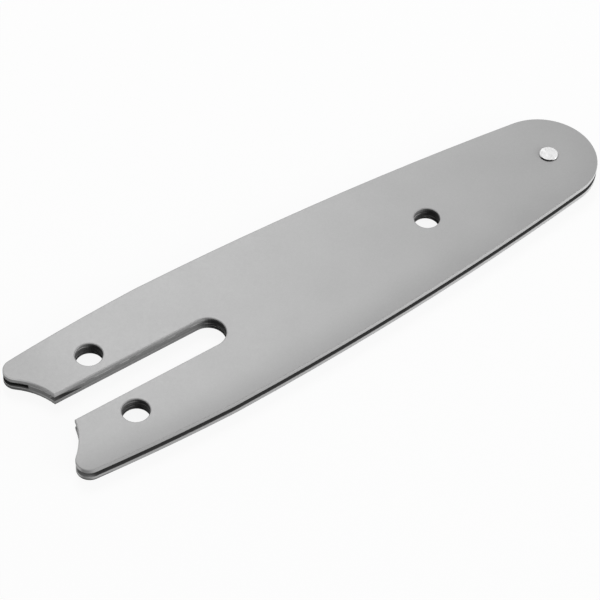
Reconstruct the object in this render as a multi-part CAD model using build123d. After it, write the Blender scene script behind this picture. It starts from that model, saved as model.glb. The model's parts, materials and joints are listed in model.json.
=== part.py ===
from build123d import *
import math
import os

# Laminated guide bar of a small battery chainsaw, laid flat. Lengths are in millimetres.
# +X runs along the bar towards its nose, +Y across it, and +Z out of its upper face.
# The origin is on the stud slot's centre line, between the two tensioner holes and
# halfway through the bar, so that the bar is the same shape when it is turned over.

# Plates
side_plate_thickness = 1.1
core_plate_thickness = 1.3  # also the width of the chain groove
groove_depth = 5.6  # how far the core plate stands back from the rails

# Long sides: a tail arc and a main arc, joined by a short crown arc at the widest place
bar_width = 39.5
widest_at = 19.2  # ahead of the origin
crown_radius = 66.0
crown_front_turn = 0.33  # degrees that the crown arc turns ahead of the widest place
crown_back_turn = 1.56  # degrees that it turns behind the widest place
tail_side_radius = 484.0

# Nose
nose_reach = 132.9  # nose tip, ahead of the origin
nose_radius = 13.0

# Tail: two tongues, with a round throat that clears the drive sprocket
tail_reach = 18.0  # tips of the tongues, behind the origin
tail_corner_radius = 3.0
throat_depth = 6.5  # from the tips to the bottom of the throat

# Stud slot, open at the tail
slot_width = 8.2
slot_reach = 28.9  # closed end, ahead of the origin

# Holes
tensioner_hole_diameter = 6.2
tensioner_hole_spacing = 18.7
middle_hole_diameter = 6.0
middle_hole_setback = 47.4  # behind the nose tip

# Nose rivet
rivet_setback = 11.1  # behind the nose tip
rivet_shank_diameter = 3.8
rivet_head_diameter = 4.5
rivet_head_proud = 0.35
rivet_rim_bevel = 0.12
rivet_clearance = 0.02

# Core plate's lead-ins at the tail
mouth_relief = 2.0  # extra depth of the chain groove where it opens at the tail
mouth_relief_length = 9.0
slot_relief = 1.4  # how far the core stands back from the slot's wall at the tail
slot_relief_length = 7.5

# Broken edges of the side plates
rail_edge_radius = 0.2  # outside edge of the rails, the tongues and the throat
opening_edge_bevel = 0.15  # outside edge of the slot and the holes
seam_edge_bevel = 0.08  # inside edge, along the chain groove and the seams
bevel_angle = 45.0  # from the plate's face

# Heights above the core plate's middle
core_face = core_plate_thickness / 2
bar_face = core_face + side_plate_thickness


def touching_radius(point, outward, centre, radius):
    # Radius of an arc that passes through the point, square to the outward direction,
    # and touches the circle about the centre. A negative radius is touched from outside.
    reach = point - centre
    return (reach.dot(reach) - radius**2) / (2 * (reach.dot(outward) - radius))


def turned(degrees):
    # Direction at this angle from +Y, positive towards the nose
    angle = math.radians(degrees)
    return Vector(math.sin(angle), math.cos(angle))


def height_on(centre, radius, x):
    # Height of a circle's upper half at x
    return centre.Y + math.sqrt(radius**2 - (x - centre.X) ** 2)


# Centres of the outline's arcs, and the directions in which one arc gives way to the next
nose_centre = Vector(nose_reach - nose_radius, 0)
crown_centre = Vector(widest_at, bar_width / 2 - crown_radius)
crown_front = turned(crown_front_turn)
crown_back = turned(-crown_back_turn)

main_side_start = crown_centre + crown_front * crown_radius
main_side_radius = touching_radius(main_side_start, crown_front, nose_centre, nose_radius)
main_side_centre = main_side_start - crown_front * main_side_radius
nose_turn = (nose_centre - main_side_centre).normalized()

tail_side_centre = crown_centre - crown_back * (tail_side_radius - crown_radius)
corner_x = tail_corner_radius - tail_reach
corner_y = height_on(tail_side_centre, tail_side_radius - tail_corner_radius, corner_x)
corner_centre = Vector(corner_x, corner_y)
corner_turn = (corner_centre - tail_side_centre).normalized()

throat_bottom = Vector(throat_depth - tail_reach, 0)
throat_radius = touching_radius(throat_bottom, Vector(1, 0), corner_centre, -tail_corner_radius)
throat_centre = throat_bottom - Vector(throat_radius, 0)
throat_end = throat_centre + (corner_centre - throat_centre).normalized() * throat_radius


def throat_x(y):
    # Where the throat's arc is, at this distance from the centre line
    return throat_centre.X + math.sqrt(throat_radius**2 - y**2)


def arc(centre, start, end):
    # The shorter arc about the centre, from start to end
    middle = (start - centre).normalized() + (end - centre).normalized()
    return ThreePointArc(start, centre + middle.normalized() * (start - centre).length, end)


def side_arcs(inset, start):
    # One long side and half of the nose, set in from the rails by this much
    tail_end = tail_side_centre + crown_back * (tail_side_radius - inset)
    main_start = crown_centre + crown_front * (crown_radius - inset)
    nose_start = nose_centre + nose_turn * (nose_radius - inset)
    nose_tip = nose_centre + Vector(nose_radius - inset, 0)
    return [
        arc(tail_side_centre, start, tail_end),
        arc(crown_centre, tail_end, main_start),
        arc(main_side_centre, main_start, nose_start),
        arc(nose_centre, nose_start, nose_tip),
    ]


def both_sides(edges):
    # Face between a chain of edges above the centre line and its mirror image
    half = Curve() + edges
    return make_face(half + mirror(half, about=Plane.XZ))


def rail_outline():
    # Outline of a side plate, whose edge is the rail that the chain runs on
    corner_end = corner_centre + corner_turn * tail_corner_radius
    tail = [
        arc(throat_centre, throat_bottom, throat_end),
        arc(corner_centre, throat_end, corner_end),
    ]
    return both_sides(tail + side_arcs(0, corner_end))


def core_outline():
    # Outline of the core plate: the bottom of the chain groove, relieved at its mouth
    groove_bottom_radius = tail_side_radius - groove_depth
    mouth_y = height_on(tail_side_centre, groove_bottom_radius, corner_x) - mouth_relief
    mouth = Vector(throat_x(mouth_y), mouth_y)
    relief_x = mouth.X + mouth_relief_length
    relief_end = Vector(relief_x, height_on(tail_side_centre, groove_bottom_radius, relief_x))
    tail = [
        arc(throat_centre, throat_bottom, mouth),
        Line(mouth, relief_end),
    ]
    return both_sides(tail + side_arcs(groove_depth, relief_end))


def stud_slot():
    # The slot runs on past the tongues, to leave the tail open
    length = slot_reach + tail_reach + slot_width
    return Pos(slot_reach - length / 2, 0) * SlotOverall(length, slot_width)


def pin_holes():
    # Two tensioner holes across the slot, and the hole in the middle of the bar
    tensioner_y = tensioner_hole_spacing / 2
    holes = [Pos(0, y) * Circle(tensioner_hole_diameter / 2) for y in (tensioner_y, -tensioner_y)]
    middle_hole = Pos(nose_reach - middle_hole_setback, 0) * Circle(middle_hole_diameter / 2)
    return Sketch() + holes + middle_hole


def slot_reliefs():
    # Wedge over the slot's mouth, where the core plate stands back from the slot's walls
    wall = slot_width / 2
    mouth_y = wall + slot_relief
    relief_end = throat_x(wall) + slot_relief_length
    wedge = [(-tail_reach, mouth_y), (throat_x(mouth_y), mouth_y), (relief_end, wall)]
    below = [(x, -y) for x, y in reversed(wedge)]
    return make_face(Polyline(*wedge, *below, close=True))


def rivet_solid(clearance):
    # Solid rivet, its ends upset into countersinks and standing proud of both faces.
    # With a clearance it is the space that the rivet fills.
    shank = rivet_shank_diameter / 2 + clearance
    head = rivet_head_diameter / 2 + clearance
    head_top = bar_face + rivet_head_proud
    half_section = make_face(
        Polyline(
            (0, 0),
            (shank, 0),
            (shank, bar_face - (head - shank)),
            (head, bar_face),
            (head, head_top - rivet_rim_bevel),
            (head - rivet_rim_bevel, head_top),
            (0, head_top),
            close=True,
        )
    )
    half = revolve(Plane.XZ * half_section, Axis.Z)
    rivet = half + mirror(half, about=Plane.XY)
    return Pos(nose_reach - rivet_setback, 0) * rivet


def bevelled_slot():
    # The stud slot through the upper side plate, flared at the plate's outer face
    slot = Pos(0, 0, core_face) * extrude(stud_slot(), side_plate_thickness)
    flare = extrude(stud_slot(), 2 * opening_edge_bevel, taper=-bevel_angle)
    return slot + Pos(0, 0, bar_face - opening_edge_bevel) * flare


def side_plate():
    # Upper side plate. Its rail is rounded outside, and its other edges are just broken.
    blank = extrude(rail_outline() - pin_holes(), side_plate_thickness)
    outer_face = blank.faces().sort_by(Axis.Z)[-1]
    blank = chamfer(outer_face.inner_wires().edges(), opening_edge_bevel)
    outer_face = blank.faces().sort_by(Axis.Z)[-1]
    blank = fillet(outer_face.outer_wire().edges(), rail_edge_radius)
    plate = Pos(0, 0, core_face) * blank - bevelled_slot()
    inner_face = plate.faces().sort_by(Axis.Z)[0]
    plate = chamfer(inner_face.outer_wire().edges(), seam_edge_bevel)
    return plate - rivet_solid(rivet_clearance)


def core_plate():
    # Core plate, flush with the side plates at the throat, the slot and the holes
    blank = core_outline() - stud_slot() - pin_holes() - slot_reliefs()
    plate = extrude(blank, core_face, both=True)
    return plate - rivet_solid(rivet_clearance)


upper_side_plate = side_plate()

pieces = {
    "upper_side_plate": upper_side_plate,
    "core_plate": core_plate(),
    "lower_side_plate": mirror(upper_side_plate, about=Plane.XY),
    "nose_rivet": rivet_solid(0),
}

os.makedirs("parts", exist_ok=True)
for name, piece in pieces.items():
    export_step(piece, f"parts/{name}.step")
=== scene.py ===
import bpy
import json
import math
from mathutils import Matrix, Vector


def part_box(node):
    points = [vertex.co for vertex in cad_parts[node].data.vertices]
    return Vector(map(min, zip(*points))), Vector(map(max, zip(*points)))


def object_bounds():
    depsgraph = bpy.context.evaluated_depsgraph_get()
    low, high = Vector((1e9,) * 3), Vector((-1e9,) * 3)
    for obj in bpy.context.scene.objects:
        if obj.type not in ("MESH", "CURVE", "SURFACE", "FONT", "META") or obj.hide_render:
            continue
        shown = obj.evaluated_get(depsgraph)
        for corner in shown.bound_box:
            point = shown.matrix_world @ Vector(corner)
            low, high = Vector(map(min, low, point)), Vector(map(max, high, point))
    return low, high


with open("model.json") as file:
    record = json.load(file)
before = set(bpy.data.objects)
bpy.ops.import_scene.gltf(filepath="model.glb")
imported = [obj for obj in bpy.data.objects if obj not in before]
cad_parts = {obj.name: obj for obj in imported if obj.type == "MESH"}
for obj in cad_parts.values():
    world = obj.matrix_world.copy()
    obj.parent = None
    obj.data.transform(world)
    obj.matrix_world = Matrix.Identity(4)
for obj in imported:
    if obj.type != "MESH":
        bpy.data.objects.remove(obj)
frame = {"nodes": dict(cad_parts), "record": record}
cadLow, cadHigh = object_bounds()
mm = 0.001
print("guide bar loaded:", ", ".join(sorted(frame["nodes"])))


# helpers for the material nodes

def addNode(tree, kind, **settings):
    made = tree.nodes.new(kind)
    for key, value in settings.items():
        setattr(made, key, value)
    return made


def feed(tree, target, value):
    # a socket is wired, a number or colour is typed in
    if isinstance(value, bpy.types.NodeSocket):
        tree.links.new(value, target)
    else:
        target.default_value = value


def calc(tree, operation, *values, clamp=False):
    made = addNode(tree, "ShaderNodeMath", operation=operation, use_clamp=clamp)
    for socket, value in zip(made.inputs, values):
        feed(tree, socket, value)
    return made.outputs[0]


def vectorCalc(tree, operation, first, second, result="Vector"):
    made = addNode(tree, "ShaderNodeVectorMath", operation=operation)
    feed(tree, made.inputs[0], first)
    feed(tree, made.inputs[1], second)
    return made.outputs[result]


def product(tree, *shares):
    # 1 only where every share is 1
    result = shares[0]
    for share in shares[1:]:
        result = calc(tree, "MULTIPLY", result, share)
    return result


def ramp(tree, value, fromLow, fromHigh, toLow=0.0, toHigh=1.0):
    made = addNode(tree, "ShaderNodeMapRange", interpolation_type="SMOOTHSTEP")
    names = ("Value", "From Min", "From Max", "To Min", "To Max")
    for name, number in zip(names, (value, fromLow, fromHigh, toLow, toHigh)):
        feed(tree, made.inputs[name], number)
    return made.outputs["Result"]


def mixTone(tree, share, first, second):
    made = addNode(tree, "ShaderNodeMix", data_type="FLOAT")
    for socket, value in zip(made.inputs[:1] + made.inputs[2:4], (share, first, second)):
        feed(tree, socket, value)
    return made.outputs[0]


def around(tree, pattern, middle, spread):
    # a pattern of 0 to 1, as a number that strays from its middle by the spread
    return calc(tree, "MULTIPLY_ADD", calc(tree, "SUBTRACT", pattern, 0.5), 2.0 * spread, middle)


def noise(tree, place, scale, detail, roughness=0.5, stretch=None):
    # place is in millimetres, so scale is lumps per millimetre
    if stretch:
        place = vectorCalc(tree, "MULTIPLY", place, stretch)
    made = addNode(tree, "ShaderNodeTexNoise", noise_dimensions="3D")
    feed(tree, made.inputs["Vector"], place)
    made.inputs["Scale"].default_value = scale
    made.inputs["Detail"].default_value = detail
    made.inputs["Roughness"].default_value = roughness
    return made.outputs["Fac"]


def newFinish(name):
    # a new material, and each point's place on the bar in millimetres
    made = bpy.data.materials.new(name)
    made.use_nodes = True
    tree = made.node_tree
    place = addNode(tree, "ShaderNodeTexCoord").outputs["Object"]
    place = vectorCalc(tree, "MULTIPLY", place, (1 / mm, 1 / mm, 1 / mm))
    return made, tree, tree.nodes["Principled BSDF"], place


def splitAxes(tree, vector):
    parts = addNode(tree, "ShaderNodeSeparateXYZ")
    feed(tree, parts.inputs[0], vector)
    return parts.outputs["X"], parts.outputs["Y"], parts.outputs["Z"]


def whereabouts(tree, place):
    # x runs toward the nose, y to the bar's left and z up; across and height have no sign
    x, y, z = splitAxes(tree, place)
    normal = addNode(tree, "ShaderNodeNewGeometry").outputs["True Normal"]
    return {
        "x": x,
        "y": y,
        "z": z,
        "across": calc(tree, "ABSOLUTE", y),
        "height": calc(tree, "ABSOLUTE", z),
        "normal": normal,
        "facing": calc(tree, "ABSOLUTE", splitAxes(tree, normal)[2]),  # 1 on faces, 0 on walls
    }


def paint(tree, shader, tone):
    colour = addNode(tree, "ShaderNodeCombineColor")
    for name in ("Red", "Green", "Blue"):
        feed(tree, colour.inputs[name], tone)
    feed(tree, shader.inputs["Base Color"], colour.outputs["Color"])


def raised(tree, height, strength, depth, under=None):
    # depth is in millimetres
    bump = addNode(tree, "ShaderNodeBump")
    bump.inputs["Strength"].default_value = strength
    bump.inputs["Distance"].default_value = depth * mm
    feed(tree, bump.inputs["Height"], height)
    if under is not None:
        feed(tree, bump.inputs["Normal"], under)
    return bump.outputs["Normal"]


def putOn(nodeNames, finish):
    for name in nodeNames:
        for slot in frame["nodes"][name].material_slots:
            slot.material = finish


# outline of the bar, worked out as in the CAD, for finishes that follow its edges

rivetLow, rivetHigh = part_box("nose_rivet")
plateLow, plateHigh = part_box("lower_side_plate")
plateSeam = -plateHigh.z / mm   # how far each seam is from the bar's middle
holes = [mount for mount in frame["record"]["mounts"] if mount["kind"] == "bore"]

outline = {                     # millimetres and degrees
    "widestAt": 19.2,
    "crownRadius": 66.0,        # short arc at the widest place
    "crownFrontTurn": 0.33,     # how far it turns ahead of the widest place
    "crownBackTurn": 1.56,      # and behind it
    "tailSideRadius": 484.0,
    "noseRadius": 13.0,
    "cornerRadius": 3.0,        # round the tongues
    "throatDepth": 6.5,
    "slotWidth": 8.2,
    "slotReach": 28.9,
}


def turned(degrees):
    # direction at this angle from straight across the bar, positive toward the nose
    angle = math.radians(degrees)
    return Vector((math.sin(angle), math.cos(angle)))


def touchingRadius(point, outward, centre, radius):
    # radius of an arc through the point, square to the outward direction, that touches
    # the circle about the centre. A negative radius is touched from outside.
    reach = point - centre
    return (reach.length_squared - radius ** 2) / (2 * (reach.dot(outward) - radius))


def outlineArcs():
    # centre and radius of the arcs on the left-hand side. The right-hand side mirrors them.
    noseTip, halfWidth, tailTip = cadHigh.x / mm, cadHigh.y / mm, cadLow.x / mm
    nose = Vector((noseTip - outline["noseRadius"], 0))
    crown = Vector((outline["widestAt"], halfWidth - outline["crownRadius"]))
    front = turned(outline["crownFrontTurn"])
    mainStart = crown + front * outline["crownRadius"]
    mainRadius = touchingRadius(mainStart, front, nose, outline["noseRadius"])
    tailReach = outline["tailSideRadius"] - outline["crownRadius"]
    tail = crown - turned(-outline["crownBackTurn"]) * tailReach
    cornerX = tailTip + outline["cornerRadius"]
    cornerReach = outline["tailSideRadius"] - outline["cornerRadius"]
    cornerY = tail.y + math.sqrt(cornerReach ** 2 - (cornerX - tail.x) ** 2)
    bottom = Vector((tailTip + outline["throatDepth"], 0))
    corner = Vector((cornerX, cornerY))
    throatRadius = touchingRadius(bottom, Vector((1, 0)), corner, -outline["cornerRadius"])
    return {
        "main": (mainStart - front * mainRadius, mainRadius),
        "tail": (tail, outline["tailSideRadius"]),
        "nose": (nose, outline["noseRadius"]),
        "throat": (bottom - Vector((throatRadius, 0)), throatRadius),
    }


arcs = outlineArcs()
outOfReach = 1000.0             # deeper than any place in the bar


def circleReach(tree, x, y, centre):
    along = calc(tree, "SUBTRACT", x, centre[0])
    across = calc(tree, "SUBTRACT", y, centre[1])
    squares = [calc(tree, "MULTIPLY", length, length) for length in (along, across)]
    return calc(tree, "SQRT", calc(tree, "ADD", *squares))


def arcDepth(tree, here, name):
    # how far inside an arc's circle a place is
    centre, radius = arcs[name]
    return calc(tree, "SUBTRACT", radius, circleReach(tree, here["x"], here["across"], centre))


def railDistance(tree, here):
    # how far inside the rail a place is. The tail arc counts behind the widest place,
    # and the nose arc ahead of its own centre.
    ahead = calc(tree, "GREATER_THAN", here["x"], outline["widestAt"])
    behind = calc(tree, "LESS_THAN", here["x"], arcs["nose"][0].x)
    tail = calc(tree, "MULTIPLY_ADD", ahead, outOfReach, arcDepth(tree, here, "tail"))
    nose = calc(tree, "MULTIPLY_ADD", behind, outOfReach, arcDepth(tree, here, "nose"))
    side = calc(tree, "MINIMUM", arcDepth(tree, here, "main"), tail)
    return calc(tree, "MINIMUM", side, nose)


def tongueDepth(tree, here):
    # how far inside a tongue's rounded end a place is
    corner = outline["cornerRadius"]
    pastRail = calc(tree, "SUBTRACT", corner, here["fromRail"])
    pastThroat = calc(tree, "ADD", corner, arcDepth(tree, here, "throat"))
    past = [calc(tree, "MAXIMUM", length, 0.0) for length in (pastRail, pastThroat)]
    return calc(tree, "SUBTRACT", corner, circleReach(tree, *past, (0.0, 0.0)))


# walls through the plates

walls = {                       # lengths in millimetres
    "slotTurnsDark": (24.0, 27.2),      # painted shade: along the slot, toward its end
    "slotRim": (0.6, 0.3),      # outside the slot's end, where the dark starts and is full
    "holeRim": (0.5, 0.3),      # and outside the holes
    "streakStretch": (2.2, 2.2, 0.3),   # marks of the cut, straight through a plate
    "spray": (0.55, -0.83, 0.0),        # painted light: a wall facing this way, toward the front fill lamp, is painted lighter
    "sprayReach": (0.10, 0.85),         # painted light: from barely to squarely facing that way
    "ringGrey": 0.85,           # rings that the drill and the cutter left
    "ringStretch": (0.25, 0.25, 2.0),
    "ringMarks": (0.55, 0.63),
    "ringShare": 0.15,          # how plain the rings are
    "sprayedRingShare": 0.65,   # and where they face the fill lamp, as painted light
}


def streaks(tree, place):
    return noise(tree, place, 1.0, detail=3.0, stretch=walls["streakStretch"])


def shadedWalls(tree, here):
    # painted shade: 1 in the holes and round the slot's end, whose walls are painted dark
    slotHalf, slotEnd = outline["slotWidth"] / 2, outline["slotReach"]
    start, full = walls["slotRim"]
    dark = product(
        tree,
        ramp(tree, here["x"], *walls["slotTurnsDark"]),
        ramp(tree, here["x"], slotEnd + start, slotEnd + full),
        ramp(tree, here["across"], slotHalf + start, slotHalf + full),
    )
    start, full = walls["holeRim"]
    for hole in holes:
        middle = (hole["pos_m"][0] / mm, hole["pos_m"][1] / mm)
        radius = hole["dims"]["r_mm"]
        reach = circleReach(tree, here["x"], here["y"], middle)
        dark = calc(tree, "MAXIMUM", dark, ramp(tree, reach, radius + start, radius + full))
    return dark


def facesFillLamp(tree, normal):
    # painted light: 1 on the walls that face the front fill lamp, which are painted lighter
    toward = vectorCalc(tree, "DOT_PRODUCT", normal, walls["spray"], result="Value")
    return ramp(tree, toward, *walls["sprayReach"])


def ringed(tree, place, normal, tone):
    # thin rings round the walls, plainest on the walls facing the front fill lamp, as painted
    # light
    rings = noise(tree, place, 1.0, detail=2.0, stretch=walls["ringStretch"])
    plain = mixTone(tree, facesFillLamp(tree, normal), walls["ringShare"], walls["sprayedRingShare"])
    share = product(tree, ramp(tree, rings, *walls["ringMarks"]), plain)
    return mixTone(tree, share, tone, walls["ringGrey"])


# side plates: satin grey coat, ground rails, cut walls with painted shade in the holes and at the
# slot's end, bare steel inside darkened with painted shade, and painted light and shade in
# further places

# marks of a zone: along which way it starts, where, and where it is full
tailEnd = ("x", -9.0, -13.0)
rightHand = ("y", -9.0, -12.0)
roundedEdge = ("facing", 0.99, 0.93)

plates = {                      # lengths in millimetres
    "coatGrey": 0.415,
    "coatPatches": 0.020,       # light and dark patches of the coat
    "patchScale": 0.09,
    "coatGrain": 0.030,         # its fine grain
    "grainScale": 3.2,
    "grainRelief": (0.12, 0.02),        # strength and depth
    "leftTongueGrey": 0.385,    # painted shade: the coat a little darker on the left-hand tongue
    "coatRoughness": 0.394,
    "coatMetal": 0.157,         # the whole of its gloss
    "bareRoughness": 0.70,      # matt walls in the groove and the holes
    "roughSpread": 0.05,
    "roughScale": 1.1,
    "railGrey": 0.55,           # ground rails at the tail
    "flankRailGrey": 0.69,      # painted light: lighter ahead of the widest place
    "noseRailGrey": 0.86,       # painted light: lighter still round the nose
    "cornerRailGrey": 0.36,     # painted shade: darker round the right-hand tongue's corner
    "railLines": 0.04,          # grinding, along the rails
    "lineStretch": (0.25, 0.25, 14.0),
    "slotWallGrey": 0.39,
    "mouthWallGrey": 0.54,      # painted light: lighter toward the slot's mouth, on the upper plate
    "lowerTongueGrey": 0.22,    # painted shade: lower plate's wall round the left-hand tongue
    "tipWallGrey": 0.52,        # painted light: throat's wall near the tips beside the slot
    "wallStreaks": 0.05,
    "darkWallGrey": 0.11,       # painted shade: walls of the holes and of the slot's end, near their rims
    "deepWallGrey": 0.04,       # painted shade: the same walls further in, darker
    "sprayedGrey": 0.26,        # painted light: the same walls lighter where they face the front fill lamp
    "darkDepth": 1.0,           # from deep to the rim
    "insideGrey": 0.10,         # faces toward the chain groove: bare steel, darkened as painted shade
    "mouthInsideGrey": 0.04,    # painted shade: darker still at the left-hand mouth
    "mouthLipGrey": 0.20,       # painted light: lighter close to the edge there
    "sprayedInsideGrey": 0.24,  # painted light: lighter at the right-hand mouth
    # painted light: lighter still close to the edge there
    "sprayedLipGrey": 0.50,
    "lipStart": 0.1,
    "lipDepth": 0.6,
    "sprayedLipDepth": 1.2,
    "frontGrey": 0.78,          # painted light: right-hand tongue's wall and lip, where they face the tail
    "slotInsideGrey": 0.22,     # painted light: inside, beside the slot's mouth
    "tailRimGrey": 0.72,        # painted highlight: rounded edge at the tail
    "underEdgeGrey": 0.14,      # lower outside edge, matt, with painted shade
    "underEdge": -1.48,         # where it starts
    "tailUnderEdge": -1.22,     # and at the tail
    "underEdgeFade": 0.2,
    "rimGrey": 0.62,            # where the coat is thin on an edge
    "rimWidth": 0.25,
    "rimMarks": (0.995, 0.93),  # how the softened normal leaves the true one
    "wornGrain": (0.35, 0.60),  # the grain's lighter spots are worn more
    "wornShare": (0.35, 0.80),
    "rollWidth": 8.7,           # tumbling takes the outer faces down toward the rails
    "rollCurve": 2.5,           # higher for a drop closer to the rails
    "rollDrop": 0.43,
    "leftRollDrop": 0.15,       # the left-hand side had less of it
    "rollSides": (-12.0, 12.0),
    "zones": {
        # fromRail and fromEnd are measured inward, and facing is 1 on faces and 0 on walls
        "leftTongue": [("x", 0.0, -14.0), ("y", 2.0, 6.0)],
        "flanks": [("x", 0.0, 85.0)],
        "nose": [("x", 112.0, 128.0)],
        "rightCorner": [("x", -15.5, -17.2), rightHand],
        "slotMouth": [("x", -4.0, -13.0), ("across", 8.0, 4.6), ("z", -0.5, 0.5)],
        "lowerLeft": [("z", -0.55, -0.75), ("x", -11.0, -15.0), ("y", 8.0, 12.0)],
        "tips": [("across", 4.2, 4.8), ("across", 9.5, 6.0), tailEnd],
        "rail": [("fromRail", 2.2, 1.6)],
        "front": [("fromRail", 1.2, 2.1), ("x", -16.4, -17.4), rightHand],
        "wall": [("facing", 0.60, 0.40)],
        "edge": [roundedEdge],
        "tailRim": [roundedEdge, ("facing", 0.1, 0.3), ("y", -14.0, -12.0), ("x", -13.0, -16.5)],
        "tail": [tailEnd],
        "inside": [("height", plateSeam + 0.06, plateSeam + 0.02)],
        "leftMouth": [tailEnd, ("y", 7.0, 9.0)],
        "rightMouth": [("x", -14.8, -17.0), rightHand],
        "slotInside": [tailEnd, ("across", 7.5, 6.0)],
    },
}


def zone(tree, here, name):
    # 0 before any of the first marks, and 1 past all the second ones
    marks = plates["zones"][name]
    return product(tree, *(ramp(tree, here[way], start, full) for way, start, full in marks))


def shaded(tree, here, tone, **others):
    # the tone, giving way to another in each zone that is named
    for name, other in others.items():
        tone = mixTone(tree, zone(tree, here, name), tone, other)
    return tone


def coatTone(tree, place, here, grain):
    # painted shade: the coat darker on the left-hand tongue
    tone = shaded(tree, here, plates["coatGrey"], leftTongue=plates["leftTongueGrey"])
    patches = noise(tree, place, plates["patchScale"], detail=3.0)
    tone = around(tree, patches, tone, plates["coatPatches"])
    return calc(tree, "ADD", tone, around(tree, grain, 0.0, plates["coatGrain"]))


def railTone(tree, place, here):
    # painted light: the rails lighter toward the nose; painted shade round the right-hand
    # tongue's corner
    tone = shaded(tree, here, plates["railGrey"], flanks=plates["flankRailGrey"],
                  nose=plates["noseRailGrey"], rightCorner=plates["cornerRailGrey"])
    lines = noise(tree, place, 1.0, detail=3.0, roughness=0.6, stretch=plates["lineStretch"])
    return around(tree, lines, tone, plates["railLines"])


def cutWallTone(tree, place, here):
    # painted light toward the slot's mouth and at the tips; painted shade on the lower wall round
    # the left-hand tongue
    tone = shaded(tree, here, plates["slotWallGrey"], slotMouth=plates["mouthWallGrey"],
                  lowerLeft=plates["lowerTongueGrey"], tips=plates["tipWallGrey"])
    return around(tree, streaks(tree, place), tone, plates["wallStreaks"])


def wallShadeTone(tree, place, here):
    # painted shade on the walls of the holes and the slot's end, darkest deep in
    reach = (plateSeam, plateSeam + plates["darkDepth"])
    tone = ramp(tree, here["height"], *reach, plates["deepWallGrey"], plates["darkWallGrey"])
    tone = mixTone(tree, facesFillLamp(tree, here["normal"]), tone, plates["sprayedGrey"])
    return ringed(tree, place, here["normal"], tone)


def insideTone(tree, here):
    # painted shade in the chain groove, darker at the left-hand mouth; painted light near the
    # tongue's edge, at the right-hand mouth and beside the slot's mouth
    lip = ramp(tree, here["fromEnd"], plates["lipDepth"], plates["lipStart"])
    shadedMouth = mixTone(tree, lip, plates["mouthInsideGrey"], plates["mouthLipGrey"])
    lip = ramp(tree, here["fromEnd"], plates["sprayedLipDepth"], plates["lipStart"])
    lipTone = shaded(tree, here, plates["sprayedLipGrey"], front=plates["frontGrey"])
    litMouth = mixTone(tree, lip, plates["sprayedInsideGrey"], lipTone)
    return shaded(tree, here, plates["insideGrey"], leftMouth=shadedMouth, rightMouth=litMouth,
                  slotInside=plates["slotInsideGrey"])


def underEdge(tree, here):
    # 1 on the lower plate's outside edge, which starts higher at the tail; it is made matt and
    # painted darker as shade
    start = mixTone(tree, zone(tree, here, "tail"), plates["underEdge"], plates["tailUnderEdge"])
    full = calc(tree, "SUBTRACT", start, plates["underEdgeFade"])
    return product(tree, ramp(tree, here["z"], start, full), zone(tree, here, "edge"))


def rolledEdge(tree, here):
    # how far the outer face drops near the rails
    near = calc(tree, "DIVIDE", here["fromRail"], plates["rollWidth"])
    share = calc(tree, "SUBTRACT", 1.0, near, clamp=True)
    drops = (-plates["rollDrop"], -plates["leftRollDrop"])
    drop = ramp(tree, here["y"], *plates["rollSides"], *drops)
    return product(tree, calc(tree, "POWER", share, plates["rollCurve"]), drop)


def satinCoat():
    finish, tree, shader, place = newFinish("satinCoatOnSteel")
    here = whereabouts(tree, place)
    here["fromRail"] = railDistance(tree, here)
    here["fromEnd"] = tongueDepth(tree, here)
    # painted shade on the walls of the holes and the slot's end
    dark = shadedWalls(tree, here)
    wall = zone(tree, here, "wall")
    inside = zone(tree, here, "inside")
    grain = noise(tree, place, plates["grainScale"], detail=3.0, roughness=0.65)

    # 0 on a flat face, rising to 1 where a softened normal leaves the true one
    bevel = addNode(tree, "ShaderNodeBevel", samples=8)
    bevel.inputs["Radius"].default_value = plates["rimWidth"] * mm
    soft = bevel.outputs["Normal"]
    softness = vectorCalc(tree, "DOT_PRODUCT", soft, here["normal"], result="Value")
    rim = ramp(tree, softness, *plates["rimMarks"])

    cut = mixTone(tree, dark, cutWallTone(tree, place, here), wallShadeTone(tree, place, here))
    # painted light on the right-hand tongue's front
    sides = shaded(tree, here, cut, rail=railTone(tree, place, here), front=plates["frontGrey"])
    tone = mixTone(tree, wall, coatTone(tree, place, here, grain), sides)
    thin = ramp(tree, grain, *plates["wornGrain"], *plates["wornShare"])
    worn = product(tree, rim, thin, calc(tree, "SUBTRACT", 1.0, dark))
    tone = mixTone(tree, worn, tone, plates["rimGrey"])
    # painted highlight on the rounded edge at the tail
    tone = shaded(tree, here, tone, tailRim=plates["tailRimGrey"])
    under = underEdge(tree, here)
    # painted shade on the lower outside edge
    tone = mixTone(tree, under, tone, plates["underEdgeGrey"])
    # painted shade and light on the faces toward the chain groove
    paint(tree, shader, mixTone(tree, inside, tone, insideTone(tree, here)))

    rough = noise(tree, place, plates["roughScale"], detail=4.0)
    rough = around(tree, rough, plates["coatRoughness"], plates["roughSpread"])
    bare = calc(tree, "MAXIMUM", calc(tree, "MAXIMUM", inside, under), product(tree, wall, dark))
    feed(tree, shader.inputs["Roughness"], mixTone(tree, bare, rough, plates["bareRoughness"]))
    feed(tree, shader.inputs["Metallic"], mixTone(tree, bare, plates["coatMetal"], 0.0))
    shader.inputs["Specular IOR Level"].default_value = 0.0

    rolled = raised(tree, rolledEdge(tree, here), 1.0, 1.0, under=soft)
    feed(tree, shader.inputs["Normal"], raised(tree, grain, *plates["grainRelief"], under=rolled))
    return finish


putOn(("upper_side_plate", "lower_side_plate"), satinCoat())
print("side plates finished")


# core plate: plain cut steel, with painted shade on the walls of the holes and the slot's end

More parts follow.
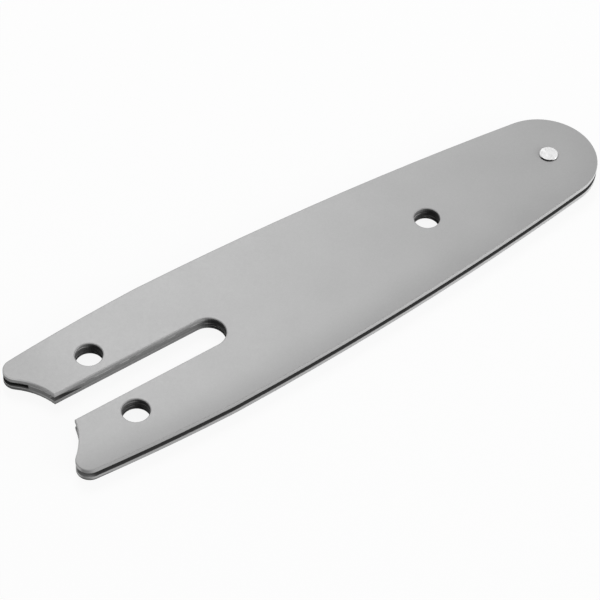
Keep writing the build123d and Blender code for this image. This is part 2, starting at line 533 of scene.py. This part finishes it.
core = {
    "grey": 0.33,
    "spread": 0.05,
    # painted shade: the core's walls in the holes and at the slot's end
    "darkWallGrey": 0.03,
    "sprayedGrey": 0.15,        # painted light: the painted-shade walls lighter where they face the front fill lamp
    "edgeGrey": 0.75,           # its upper edge, rubbed bright in places
    "edgeDepth": (0.17, 0.12),  # below the seam, millimetres
    "rubbedScale": 0.35,        # stretches of a few millimetres
    "rubbedMarks": (0.42, 0.58),
    "roughness": 0.55,
    "roughSpread": 0.06,
    "gloss": 0.05,
    "markRelief": (0.3, 0.03),  # strength and depth
}


def cutSteel():
    finish, tree, shader, place = newFinish("cutSteelCore")
    here = whereabouts(tree, place)
    marks = streaks(tree, place)
    start, full = core["edgeDepth"]
    edge = ramp(tree, here["z"], plateSeam - start, plateSeam - full)
    stretches = noise(tree, place, core["rubbedScale"], detail=1.0)
    rubbed = product(tree, edge, ramp(tree, stretches, *core["rubbedMarks"]))
    bare = around(tree, marks, core["grey"], core["spread"])
    bare = mixTone(tree, rubbed, bare, core["edgeGrey"])
    # painted shade on the walls of the holes and the slot's end, lighter as painted light where
    # they face the fill lamp
    fillLit = facesFillLamp(tree, here["normal"])
    scale = mixTone(tree, fillLit, core["darkWallGrey"], core["sprayedGrey"])
    scale = ringed(tree, place, here["normal"], scale)
    paint(tree, shader, mixTone(tree, shadedWalls(tree, here), bare, scale))
    rough = around(tree, marks, core["roughness"], core["roughSpread"])
    feed(tree, shader.inputs["Roughness"], rough)
    shader.inputs["Specular IOR Level"].default_value = core["gloss"]
    feed(tree, shader.inputs["Normal"], raised(tree, marks, *core["markRelief"]))
    return finish


putOn(("core_plate",), cutSteel())
print("core plate finished")


# nose rivet: bright, as formed

rivet = {
    "grey": 0.46,
    "greySpread": 0.05,
    "sideGrey": 0.02,           # painted shade: dark on the rim and side within the patch
    "rubbedGrey": 0.30,         # the side's grey away from the painted shade
    "darkSide": (-0.788, -0.616, 0.0),  # the way the painted shade faces, toward the tail and the right-hand side
    "darkReach": (1.4, 1.9),    # from the rivet's middle, millimetres
    "darkWaver": 0.3,           # how much its edge wavers
    "bevel": (0.92, 0.75),      # facing, where the top gives way to the bevelled rim
    "side": (0.65, 0.40),       # and the rim to the side
    "roughness": 0.32,
    "roughSpread": 0.05,
    "dentScale": 0.8,
    "dentRelief": (0.35, 0.08),         # strength and depth
}


def formedSteel():
    finish, tree, shader, place = newFinish("formedBrightSteel")
    facing = whereabouts(tree, place)["facing"]
    dents = noise(tree, place, rivet["dentScale"], detail=2.0)
    fromMiddle = vectorCalc(tree, "SUBTRACT", place, (rivetLow + rivetHigh) / (2 * mm))
    outward = vectorCalc(tree, "DOT_PRODUCT", fromMiddle, rivet["darkSide"], result="Value")
    # painted shade: a dark patch on the rim and side, toward the tail and the right-hand side
    shadePatch = ramp(tree, around(tree, dents, outward, rivet["darkWaver"]), *rivet["darkReach"])
    top = around(tree, dents, rivet["grey"], rivet["greySpread"])
    rim = mixTone(tree, shadePatch, top, rivet["sideGrey"])
    side = mixTone(tree, shadePatch, rivet["rubbedGrey"], rivet["sideGrey"])
    tone = mixTone(tree, ramp(tree, facing, *rivet["bevel"]), top, rim)
    paint(tree, shader, mixTone(tree, ramp(tree, facing, *rivet["side"]), tone, side))
    rough = around(tree, dents, rivet["roughness"], -rivet["roughSpread"])
    feed(tree, shader.inputs["Roughness"], rough)
    shader.inputs["Metallic"].default_value = 1.0
    feed(tree, shader.inputs["Normal"], raised(tree, dents, *rivet["dentRelief"]))
    return finish


putOn(("nose_rivet",), formedSteel())
print("nose rivet finished")


# table the bar lies on

table = {
    "size": 6.0,                # metres
    "white": 1.00,
    "bounce": 0.30,             # what it throws back at the bar
    "plainShare": 0.90,         # how much of the white is the backdrop's own
    "tailGap": 0.02,            # millimetres under the tail, where the bar rests
}


def isSeen(tree):
    # 1 for what the camera, a gloss or a glass sees
    path = addNode(tree, "ShaderNodeLightPath").outputs
    seen = calc(tree, "ADD", path["Is Camera Ray"], path["Is Glossy Ray"])
    return calc(tree, "ADD", seen, path["Is Transmission Ray"], clamp=True)


def tableTop():
    finish = bpy.data.materials.new("paleTableTop")
    finish.use_nodes = True
    tree = finish.node_tree
    tree.nodes.remove(tree.nodes["Principled BSDF"])
    seen = isSeen(tree)
    matt = addNode(tree, "ShaderNodeBsdfDiffuse")
    feed(tree, matt.inputs["Color"], mixTone(tree, seen, table["bounce"], table["white"]))
    glow = addNode(tree, "ShaderNodeEmission")
    glow.inputs["Strength"].default_value = 1.0     # 1 is white
    both = addNode(tree, "ShaderNodeMixShader")
    feed(tree, both.inputs[0], calc(tree, "MULTIPLY", seen, table["plainShare"]))
    feed(tree, both.inputs[1], matt.outputs[0])
    feed(tree, both.inputs[2], glow.outputs[0])
    feed(tree, tree.nodes["Material Output"].inputs["Surface"], both.outputs[0])
    return finish


def paleTable():
    # the bar rests on its lower rivet head and its tail end, so the table tilts a little
    restAt = Vector((rivetLow.x, 0, rivetLow.z))
    tailAt = Vector((plateLow.x, 0, plateLow.z - table["tailGap"] * mm))
    along = (restAt - tailAt).normalized()
    across = Vector((0, 1, 0))
    half = table["size"] / 2
    corners = []
    for i, j in ((-half, -half), (half, -half), (half, half), (-half, half)):
        corners.append(restAt + along * i + across * j)
    mesh = bpy.data.meshes.new("paleTable")
    mesh.from_pydata(corners, [], [(0, 1, 2, 3)])
    mesh.materials.append(tableTop())
    made = bpy.data.objects.new("paleTable", mesh)
    bpy.context.scene.collection.objects.link(made)


paleTable()
print("table laid")


# studio light

studio = {
    "roomLevel": 0.45,
    "roomColour": (1.0, 1.0, 1.0, 1.0),
    "softboxes": {
        # name: (where, aimed at, width, height, watts), metres
        "backSoftbox": ((0.345, 0.638, 0.785), (0.05, 0.0, 0.0), 0.40, 0.408, 3.9),
        "frontFill": ((0.62, -0.80, 0.27), (0.05, 0.0, 0.0), 0.90, 0.45, 4.4),
    },
}


def lightStudio():
    world = bpy.data.worlds.new("whiteRoom")
    bpy.context.scene.world = world
    world.use_nodes = True
    tree = world.node_tree
    background = tree.nodes["Background"]
    background.inputs["Color"].default_value = studio["roomColour"]
    room = studio["roomLevel"]
    level = calc(tree, "MULTIPLY_ADD", isSeen(tree), 1.0 - room, room)
    feed(tree, background.inputs["Strength"], level)
    for name, (where, aim, width, height, watts) in studio["softboxes"].items():
        lamp = bpy.data.lights.new(name, "AREA")
        lamp.shape = "RECTANGLE"
        lamp.size = width
        lamp.size_y = height
        lamp.energy = watts
        made = bpy.data.objects.new(name, lamp)
        bpy.context.scene.collection.objects.link(made)
        made.location = where
        made.rotation_euler = (Vector(aim) - Vector(where)).to_track_quat("-Z", "Y").to_euler()


lightStudio()
print("lamps set")


# camera at the photo's angle

camera = {                      # degrees and millimetres
    "azimuth": -37.3025,
    "elevation": 48.862,
    "roll": 2.1553,
    "target": (47.83, -2.615, 0.0),
    "distance": 512.47,
    "lens": 137.988,
    "sensorWidth": 36.0,
    "seesFrom": 10.0,
    "seesTo": 20000.0,
}


def placeCamera():
    azimuth = math.radians(camera["azimuth"])
    elevation = math.radians(camera["elevation"])
    roll = math.radians(camera["roll"])
    upward = Vector((0, 0, 1))
    flatBack = Vector((math.sin(azimuth), -math.cos(azimuth), 0))
    back = flatBack * math.cos(elevation) + upward * math.sin(elevation)
    level = upward.cross(back).normalized()
    upright = back.cross(level)
    right = level * math.cos(roll) + upright * math.sin(roll)
    up = upright * math.cos(roll) - level * math.sin(roll)
    spot = Vector(camera["target"]) * mm + back * (camera["distance"] * mm)
    data = bpy.data.cameras.new("photoCamera")
    data.lens = camera["lens"]
    data.sensor_width = camera["sensorWidth"]
    data.clip_start = camera["seesFrom"] * mm
    data.clip_end = camera["seesTo"] * mm
    made = bpy.data.objects.new("photoCamera", data)
    bpy.context.scene.collection.objects.link(made)
    turn = Matrix((right, up, back)).transposed().to_4x4()
    made.matrix_world = Matrix.Translation(spot) @ turn
    bpy.context.scene.camera = made


placeCamera()
bpy.context.scene.view_settings.view_transform = "Standard"
print("camera placed")
